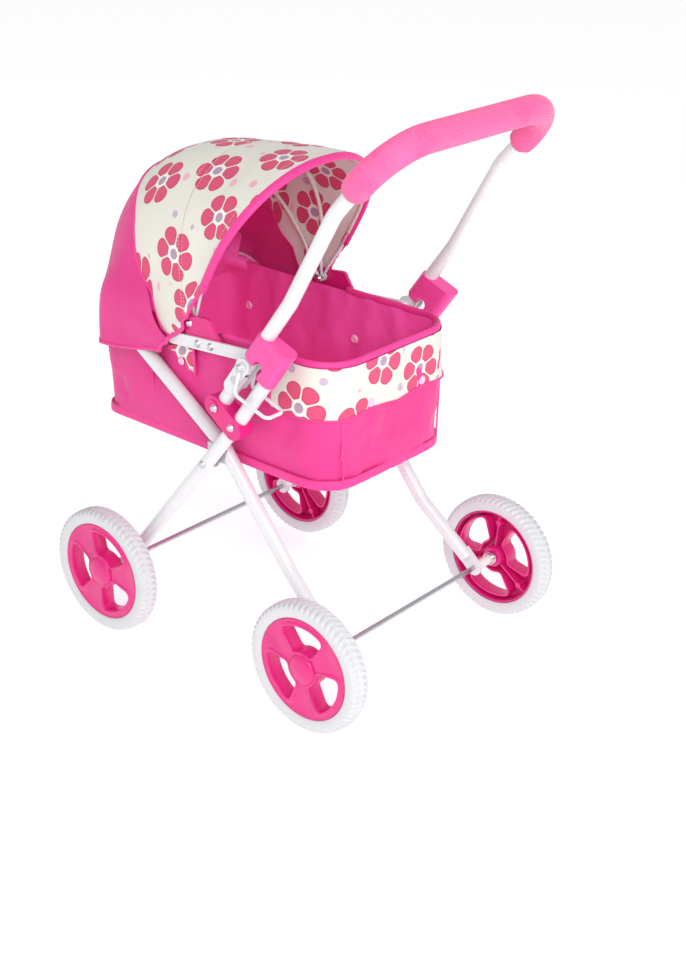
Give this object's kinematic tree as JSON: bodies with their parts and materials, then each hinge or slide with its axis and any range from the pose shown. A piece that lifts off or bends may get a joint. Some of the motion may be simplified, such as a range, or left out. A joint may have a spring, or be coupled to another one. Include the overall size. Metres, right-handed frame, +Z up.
{
  "type": "doll pram",
  "caption": "Folding doll pram with a pink fabric bassinet, a folding printed hood, spoked plastic wheels and a white tube frame with a soft curved push handle.",
  "frame": {"origin": "on the ground under the middle of the pram", "axes": "+Z up, -X towards the hood end (the front), +X towards the push handle, +Y towards the right side"},
  "size_m": [0.45, 0.3598, 0.6245],
  "materials": {
    "white_tube": "gloss white powder coat",
    "zinc_steel": "bright zinc plate",
    "white_plastic": "moulded",
    "pink_moulding": "moulded, semi-gloss",
    "pink_grip_foam": "soft ribbed foam",
    "pink_fabric": "plain woven, padded",
    "board_fabric": "plain woven over board",
    "printed_fabric": "plain woven, printed with pink flowers and dots",
    "press_stud": "moulded",
    "white_tyre": "matte foamed tyre"
  },
  "bodies": {
    "rear_frame": {"rear_leg_frame": "white_tube", "rear_axle": "zinc_steel", "rear_bush_left": "white_plastic", "rear_bush_right": "white_plastic", "scissor_lug_left": "zinc_steel", "scissor_lug_right": "zinc_steel", "side_rail_left": "white_tube", "side_rail_right": "white_tube", "hood_bracket_left": "pink_moulding", "hood_bracket_right": "pink_moulding", "bracket_rivets": "zinc_steel", "bassinet_tub": "pink_fabric", "base_board": "board_fabric", "rim_binding": "pink_fabric", "printed_band": "printed_fabric", "snap_buttons": "press_stud", "hood_rear_panel": "pink_fabric", "hood_bow_rear": "white_tube"},
    "front_frame": {"front_leg_left": "white_tube", "front_leg_right": "white_tube", "front_axle": "zinc_steel", "front_bush_left": "white_plastic", "front_bush_right": "white_plastic", "joint_block_left": "pink_moulding", "joint_block_right": "pink_moulding", "lock_post_left": "white_tube", "lock_post_right": "white_tube", "pivot_stub_left": "white_tube", "pivot_stub_right": "white_tube", "fork_plates_left": "white_tube", "fork_plates_right": "white_tube", "scissor_rivet_left": "zinc_steel", "scissor_rivet_right": "zinc_steel", "hinge_pin_left": "zinc_steel", "hinge_pin_right": "zinc_steel", "block_rivets": "zinc_steel"},
    "handle": {"handle_tube": "white_tube", "handle_grip": "pink_grip_foam"},
    "sleeve_left": {"lock_sleeve_left": "pink_moulding"},
    "sleeve_right": {"lock_sleeve_right": "pink_moulding"},
    "bail_left": {"lock_bail_left": "white_tube"},
    "bail_right": {"lock_bail_right": "white_tube"},
    "hood_middle": {"hood_bow_middle": "white_tube", "canopy_middle": "printed_fabric"},
    "hood_front": {"hood_bow_front": "white_tube", "canopy_front": "printed_fabric"},
    "wheel_front_left": {"tyre_front_left": "white_tyre", "hub_front_left": "pink_moulding", "cap_front_left": "pink_moulding"},
    "wheel_front_right": {"tyre_front_right": "white_tyre", "hub_front_right": "pink_moulding", "cap_front_right": "pink_moulding"},
    "wheel_rear_left": {"tyre_rear_left": "white_tyre", "hub_rear_left": "pink_moulding", "cap_rear_left": "pink_moulding"},
    "wheel_rear_right": {"tyre_rear_right": "white_tyre", "hub_rear_right": "pink_moulding", "cap_rear_right": "pink_moulding"}
  },
  "joints": [
    {"name": "front_fold", "type": "hinge", "parent": "rear_frame", "child": "front_frame", "pos_m": [-0.02388, 0, 0.234], "axis": [0, -1, 0], "range_deg": [0, 44]},
    {"name": "handle_fold", "type": "hinge", "parent": "front_frame", "child": "handle", "pos_m": [0.0385, 0, 0.362], "axis": [0, -1, 0], "range_deg": [0, 88]},
    {"name": "hood_fold_middle", "type": "hinge", "parent": "rear_frame", "child": "hood_middle", "pos_m": [-0.068, 0, 0.373], "axis": [0, -1, 0], "range_deg": [0, 31]},
    {"name": "hood_fold_front", "type": "hinge", "parent": "hood_middle", "child": "hood_front", "pos_m": [-0.068, 0, 0.373], "axis": [0, -1, 0], "range_deg": [0, 31]},
    {"name": "sleeve_slide_left", "type": "slide", "parent": "handle", "child": "sleeve_left", "axis": [0.5793, 0, 0.8151], "range_m": [0, 0.03]},
    {"name": "sleeve_slide_right", "type": "slide", "parent": "handle", "child": "sleeve_right", "axis": [0.5793, 0, 0.8151], "range_m": [0, 0.03]},
    {"name": "bail_swing_left", "type": "hinge", "parent": "front_frame", "child": "bail_left", "pos_m": [0.0385, -0.13, 0.362], "axis": [0, -1, 0], "range_deg": [-32, 62]},
    {"name": "bail_swing_right", "type": "hinge", "parent": "front_frame", "child": "bail_right", "pos_m": [0.0385, 0.13, 0.362], "axis": [0, -1, 0], "range_deg": [-32, 62]},
    {"name": "spin_front_left", "type": "hinge", "parent": "front_frame", "child": "wheel_front_left", "pos_m": [-0.1525, -0.164, 0.0725], "axis": [0, 1, 0], "continuous": true},
    {"name": "spin_front_right", "type": "hinge", "parent": "front_frame", "child": "wheel_front_right", "pos_m": [-0.1525, 0.164, 0.0725], "axis": [0, 1, 0], "continuous": true},
    {"name": "spin_rear_left", "type": "hinge", "parent": "rear_frame", "child": "wheel_rear_left", "pos_m": [0.1525, -0.164, 0.0725], "axis": [0, 1, 0], "continuous": true},
    {"name": "spin_rear_right", "type": "hinge", "parent": "rear_frame", "child": "wheel_rear_right", "pos_m": [0.1525, 0.164, 0.0725], "axis": [0, 1, 0], "continuous": true}
  ],
  "couplings": [
    {"joint": "hood_fold_front", "follows": "hood_fold_middle", "ratio": 1}
  ]
}
